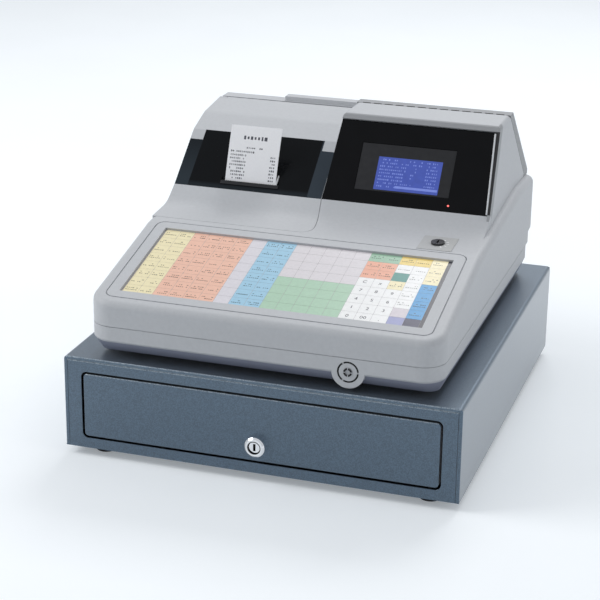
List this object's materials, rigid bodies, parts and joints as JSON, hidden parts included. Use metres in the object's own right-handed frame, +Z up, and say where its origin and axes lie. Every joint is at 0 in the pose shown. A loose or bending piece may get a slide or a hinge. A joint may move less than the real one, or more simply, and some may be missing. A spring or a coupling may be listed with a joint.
{
  "type": "cash register",
  "caption": "Electronic cash register with a flat keyboard, hinged receipt printer lid, hooded display, mode lock and a locking cash drawer with a bill and coin till.",
  "frame": {"origin": "on the ground, in the middle of the outline seen from above", "axes": "+X to the right seen from the operator, +Y to the customer's side, +Z up"},
  "size_m": [0.41, 0.446, 0.3035],
  "materials": {
    "cabinet_paint": "fine textured powder coat, slate grey",
    "bare_steel": "zinc plated sheet",
    "black_rubber": "matt",
    "screw_steel": "plated",
    "chrome": "polished",
    "nylon": "moulded, natural white",
    "till_plastic": "moulded, black",
    "clip_steel": "spring steel",
    "housing_light": "fine spark texture, light warm grey",
    "housing_dark": "fine spark texture, dark grey",
    "lock_plate": "satin grey",
    "keyboard_film": "printed film, satin",
    "circuit_board": "solder mask",
    "black_plastic": "satin black",
    "window_black": "polished, tinted",
    "screen": "polished, blue when lit",
    "paper": "smooth thermal paper",
    "platen_rubber": "ground smooth",
    "gear_plastic": "acetal",
    "mechanism_plastic": "moulded, glass filled",
    "motor_steel": "drawn can"
  },
  "bodies": {
    "register_and_cabinet": {"base_case": "housing_light", "cabinet_base_pan": "cabinet_paint", "cabinet_cover": "cabinet_paint", "cabinet_feet": "black_rubber", "cabinet_front_frame": "cabinet_paint", "cabinet_rear_panel": "cabinet_paint", "cabinet_runners": "bare_steel", "cabinet_screws": "screw_steel", "case_screws": "screw_steel", "customer_display": "window_black", "display_hood": "housing_light", "display_window": "window_black", "feed_motor": "motor_steel", "io_connectors": "black_plastic", "key_sheet": "keyboard_film", "keyboard_bezel": "housing_light", "keyboard_board": "circuit_board", "latch_bracket": "bare_steel", "latch_solenoid": "motor_steel", "lcd_module": "screen", "main_board": "circuit_board", "mode_lock_body": "black_plastic", "mode_lock_plate": "lock_plate", "paper_web": "paper", "power_inlet": "black_plastic", "print_head": "mechanism_plastic", "printer_frame": "mechanism_plastic", "reader_housing": "housing_light", "reader_ring": "black_plastic", "rear_cap": "housing_dark", "register_feet": "black_rubber", "upper_case": "housing_light"},
    "drawer": {"drawer_front": "cabinet_paint", "drawer_pan": "bare_steel", "drawer_rails": "bare_steel", "drawer_strike": "bare_steel", "lock_housing": "chrome", "till_tray": "till_plastic", "coin_tray": "till_plastic", "clip_axle": "bare_steel"},
    "drawer_lock": {"lock_plug": "chrome", "lock_cam": "bare_steel"},
    "cabinet_rollers": {"cabinet_rollers": "nylon"},
    "drawer_rollers": {"drawer_rollers": "nylon"},
    "latch_hook": {"latch_hook": "bare_steel"},
    "mode_key_plug": {"mode_lock_plug": "black_plastic"},
    "printer_lid": {"printer_cover": "housing_light", "printer_window": "window_black", "tear_bar": "clip_steel", "receipt_slip": "paper"},
    "platen": {"platen_roller": "platen_rubber", "platen_gear": "gear_plastic"},
    "idler_gear": {"idler_gear": "gear_plastic"},
    "motor_pinion": {"motor_pinion": "gear_plastic"},
    "paper_roll": {"paper_roll": "paper"},
    "reader_contact": {"reader_contact": "clip_steel"},
    "bill_clip_1": {"bill_clip_1": "clip_steel"},
    "bill_clip_2": {"bill_clip_2": "clip_steel"},
    "bill_clip_3": {"bill_clip_3": "clip_steel"},
    "bill_clip_4": {"bill_clip_4": "clip_steel"}
  },
  "joints": [
    {"name": "drawer_slide", "type": "slide", "parent": "register_and_cabinet", "child": "drawer", "axis": [0, -1, 0], "range_m": [0, 0.31]},
    {"name": "cabinet_roller_spin", "type": "hinge", "parent": "register_and_cabinet", "child": "cabinet_rollers", "pos_m": [0, -0.189, 0.0507], "axis": [1, 0, 0], "continuous": true},
    {"name": "drawer_roller_spin", "type": "hinge", "parent": "drawer", "child": "drawer_rollers", "pos_m": [0, 0.1382, 0.051], "axis": [1, 0, 0], "continuous": true},
    {"name": "drawer_lock_turn", "type": "hinge", "parent": "drawer", "child": "drawer_lock", "pos_m": [0, -0.215, 0.0395], "axis": [0, 1, 0], "range_deg": [0, 90]},
    {"name": "latch_hook_lift", "type": "hinge", "parent": "register_and_cabinet", "child": "latch_hook", "pos_m": [0, 0.1887, 0.0413], "axis": [-1, 0, 0], "range_deg": [0, 10]},
    {"name": "mode_key_turn", "type": "hinge", "parent": "register_and_cabinet", "child": "mode_key_plug", "pos_m": [0.1304, -0.0286, 0.20451], "axis": [0, -0.0723, 0.9974], "range_deg": [-60, 120]},
    {"name": "printer_lid_hinge", "type": "hinge", "parent": "register_and_cabinet", "child": "printer_lid", "pos_m": [-0.09615, 0.17, 0.278], "axis": [-1, 0, 0], "range_deg": [0, 70]},
    {"name": "platen_spin", "type": "hinge", "parent": "register_and_cabinet", "child": "platen", "pos_m": [-0.09615, 0.03593, 0.20058], "axis": [1, 0, 0], "continuous": true},
    {"name": "idler_gear_spin", "type": "hinge", "parent": "register_and_cabinet", "child": "idler_gear", "pos_m": [-0.06165, 0.01509, 0.19086], "axis": [1, 0, 0], "continuous": true},
    {"name": "motor_pinion_spin", "type": "hinge", "parent": "register_and_cabinet", "child": "motor_pinion", "pos_m": [-0.06165, 0.01509, 0.17186], "axis": [1, 0, 0], "continuous": true},
    {"name": "paper_roll_spin", "type": "hinge", "parent": "register_and_cabinet", "child": "paper_roll", "pos_m": [-0.09615, 0.112, 0.205], "axis": [1, 0, 0], "continuous": true},
    {"name": "reader_contact_press", "type": "slide", "parent": "register_and_cabinet", "child": "reader_contact", "axis": [0, 1, 0], "range_m": [0, 0.0012], "stiffness_N_per_m": 400},
    {"name": "bill_clip_1_lift", "type": "hinge", "parent": "drawer", "child": "bill_clip_1", "pos_m": [-0.12716, 0.1363, 0.0692], "axis": [-1, 0, 0], "range_deg": [0, 34], "stiffness_Nm_per_rad": 0.05},
    {"name": "bill_clip_2_lift", "type": "hinge", "parent": "drawer", "child": "bill_clip_2", "pos_m": [-0.04239, 0.1363, 0.0692], "axis": [-1, 0, 0], "range_deg": [0, 34], "stiffness_Nm_per_rad": 0.05},
    {"name": "bill_clip_3_lift", "type": "hinge", "parent": "drawer", "child": "bill_clip_3", "pos_m": [0.04239, 0.1363, 0.0692], "axis": [-1, 0, 0], "range_deg": [0, 34], "stiffness_Nm_per_rad": 0.05},
    {"name": "bill_clip_4_lift", "type": "hinge", "parent": "drawer", "child": "bill_clip_4", "pos_m": [0.12716, 0.1363, 0.0692], "axis": [-1, 0, 0], "range_deg": [0, 34], "stiffness_Nm_per_rad": 0.05}
  ],
  "couplings": [
    {"joint": "cabinet_roller_spin", "follows": "drawer_slide", "rad_per_m": 142.86},
    {"joint": "drawer_roller_spin", "follows": "drawer_slide", "rad_per_m": 142.86},
    {"joint": "idler_gear_spin", "follows": "platen_spin", "ratio": -0.91667},
    {"joint": "motor_pinion_spin", "follows": "platen_spin", "ratio": 1.5714},
    {"joint": "paper_roll_spin", "follows": "platen_spin", "ratio": 0.22222}
  ]
}
